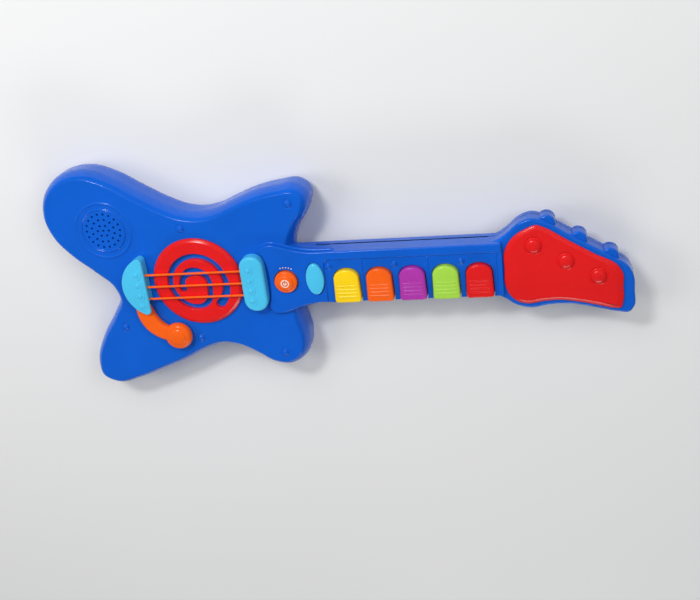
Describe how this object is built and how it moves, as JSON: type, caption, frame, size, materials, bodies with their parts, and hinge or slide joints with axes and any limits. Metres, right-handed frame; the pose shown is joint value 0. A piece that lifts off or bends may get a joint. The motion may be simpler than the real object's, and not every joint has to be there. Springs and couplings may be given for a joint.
{
  "type": "toy electric guitar",
  "caption": "Toy electric guitar with strum strings over a spiral disc, whammy bar, coloured keys, domed buttons and a battery compartment in its back.",
  "frame": {"origin": "middle of the bounding box, on the surface that the guitar's back lies on", "axes": "+X from the body along the neck to the head, +Y towards the upper horn, +Z out of the guitar's face"},
  "size_m": [0.4568, 0.1872, 0.044],
  "materials": {
    "shell_blue": "glossy moulded",
    "red": "glossy moulded",
    "cyan": "glossy moulded",
    "orange": "glossy moulded",
    "yellow": "glossy moulded",
    "purple": "glossy moulded",
    "green": "glossy moulded",
    "grey_rubber": "matt silicone",
    "circuit_board": "solder mask",
    "black_plastic": "matt",
    "steel": "zinc plated",
    "battery_wrap": "plain printed sleeve",
    "clear_lens": "clear epoxy",
    "lead_red": "satin insulation"
  },
  "bodies": {
    "casing": {"front_shell": "shell_blue", "rear_shell": "shell_blue", "headstock_panel": "red", "spiral_disc": "red", "bridge_cover": "cyan", "pickup_cover": "cyan", "string_anchor": "black_plastic", "strum_board": "circuit_board", "whammy_pin": "steel", "whammy_spring": "steel", "key_membrane": "grey_rubber", "key_board": "circuit_board", "main_board": "circuit_board", "sound_chip": "black_plastic", "power_switch": "black_plastic", "mode_switch": "black_plastic", "light_1": "clear_lens", "light_2": "clear_lens", "light_3": "clear_lens", "light_4": "clear_lens", "light_5": "clear_lens", "light_6": "clear_lens", "light_7": "clear_lens", "speaker_frame": "steel", "speaker_cone": "black_plastic", "speaker_magnet": "steel", "battery_tray": "black_plastic", "battery_1": "battery_wrap", "battery_2": "battery_wrap", "battery_3": "battery_wrap", "battery_spring_1": "steel", "battery_spring_2": "steel", "battery_spring_3": "steel", "contact_plate_left": "steel", "contact_plate_right": "steel", "case_screw_1": "steel", "case_screw_2": "steel", "case_screw_3": "steel", "case_screw_4": "steel", "case_screw_5": "steel", "case_screw_6": "steel", "case_screw_7": "steel", "case_screw_8": "steel", "speaker_lead": "lead_red", "battery_lead": "lead_red", "key_board_lead": "lead_red"},
    "high_string": {"string_high": "orange"},
    "middle_string": {"string_middle": "orange"},
    "low_string": {"string_low": "orange"},
    "whammy": {"whammy_bar": "orange"},
    "power": {"power_button": "orange"},
    "mode": {"mode_button": "cyan"},
    "yellow_key": {"key_yellow": "yellow"},
    "orange_key": {"key_orange": "orange"},
    "purple_key": {"key_purple": "purple"},
    "green_key": {"key_green": "green"},
    "red_key": {"key_red": "red"},
    "door": {"battery_door": "shell_blue", "door_screw": "steel"}
  },
  "joints": [
    {"name": "high_string_pluck", "type": "hinge", "parent": "casing", "child": "high_string", "pos_m": [-0.06505, 0.00876, 0.0388], "axis": [0, 0, 1], "range_deg": [-1, 1], "stiffness_Nm_per_rad": 0.1},
    {"name": "middle_string_pluck", "type": "hinge", "parent": "casing", "child": "middle_string", "pos_m": [-0.06505, -0.00144, 0.0388], "axis": [0, 0, 1], "range_deg": [-1, 1], "stiffness_Nm_per_rad": 0.1},
    {"name": "low_string_pluck", "type": "hinge", "parent": "casing", "child": "low_string", "pos_m": [-0.06505, -0.01164, 0.0388], "axis": [0, 0, 1], "range_deg": [-1, 1], "stiffness_Nm_per_rad": 0.1},
    {"name": "whammy_swing", "type": "hinge", "parent": "casing", "child": "whammy", "pos_m": [-0.15725, -0.01484, 0.036], "axis": [0, 0, 1], "range_deg": [-18, 4], "stiffness_Nm_per_rad": 0.06},
    {"name": "power_press", "type": "slide", "parent": "casing", "child": "power", "axis": [0, 0, -1], "range_m": [0, 0.0015], "stiffness_N_per_m": 400},
    {"name": "mode_press", "type": "slide", "parent": "casing", "child": "mode", "axis": [0, 0, -1], "range_m": [0, 0.0015], "stiffness_N_per_m": 400},
    {"name": "yellow_key_press", "type": "slide", "parent": "casing", "child": "yellow_key", "axis": [0, 0, -1], "range_m": [0, 0.002], "stiffness_N_per_m": 400},
    {"name": "orange_key_press", "type": "slide", "parent": "casing", "child": "orange_key", "axis": [0, 0, -1], "range_m": [0, 0.002], "stiffness_N_per_m": 400},
    {"name": "purple_key_press", "type": "slide", "parent": "casing", "child": "purple_key", "axis": [0, 0, -1], "range_m": [0, 0.002], "stiffness_N_per_m": 400},
    {"name": "green_key_press", "type": "slide", "parent": "casing", "child": "green_key", "axis": [0, 0, -1], "range_m": [0, 0.002], "stiffness_N_per_m": 400},
    {"name": "red_key_press", "type": "slide", "parent": "casing", "child": "red_key", "axis": [0, 0, -1], "range_m": [0, 0.002], "stiffness_N_per_m": 400},
    {"name": "door_hinge", "type": "hinge", "parent": "casing", "child": "door", "pos_m": [-0.13855, -0.00024, 0.0013], "axis": [0, 1, 0], "range_deg": [0, 100]}
  ]
}
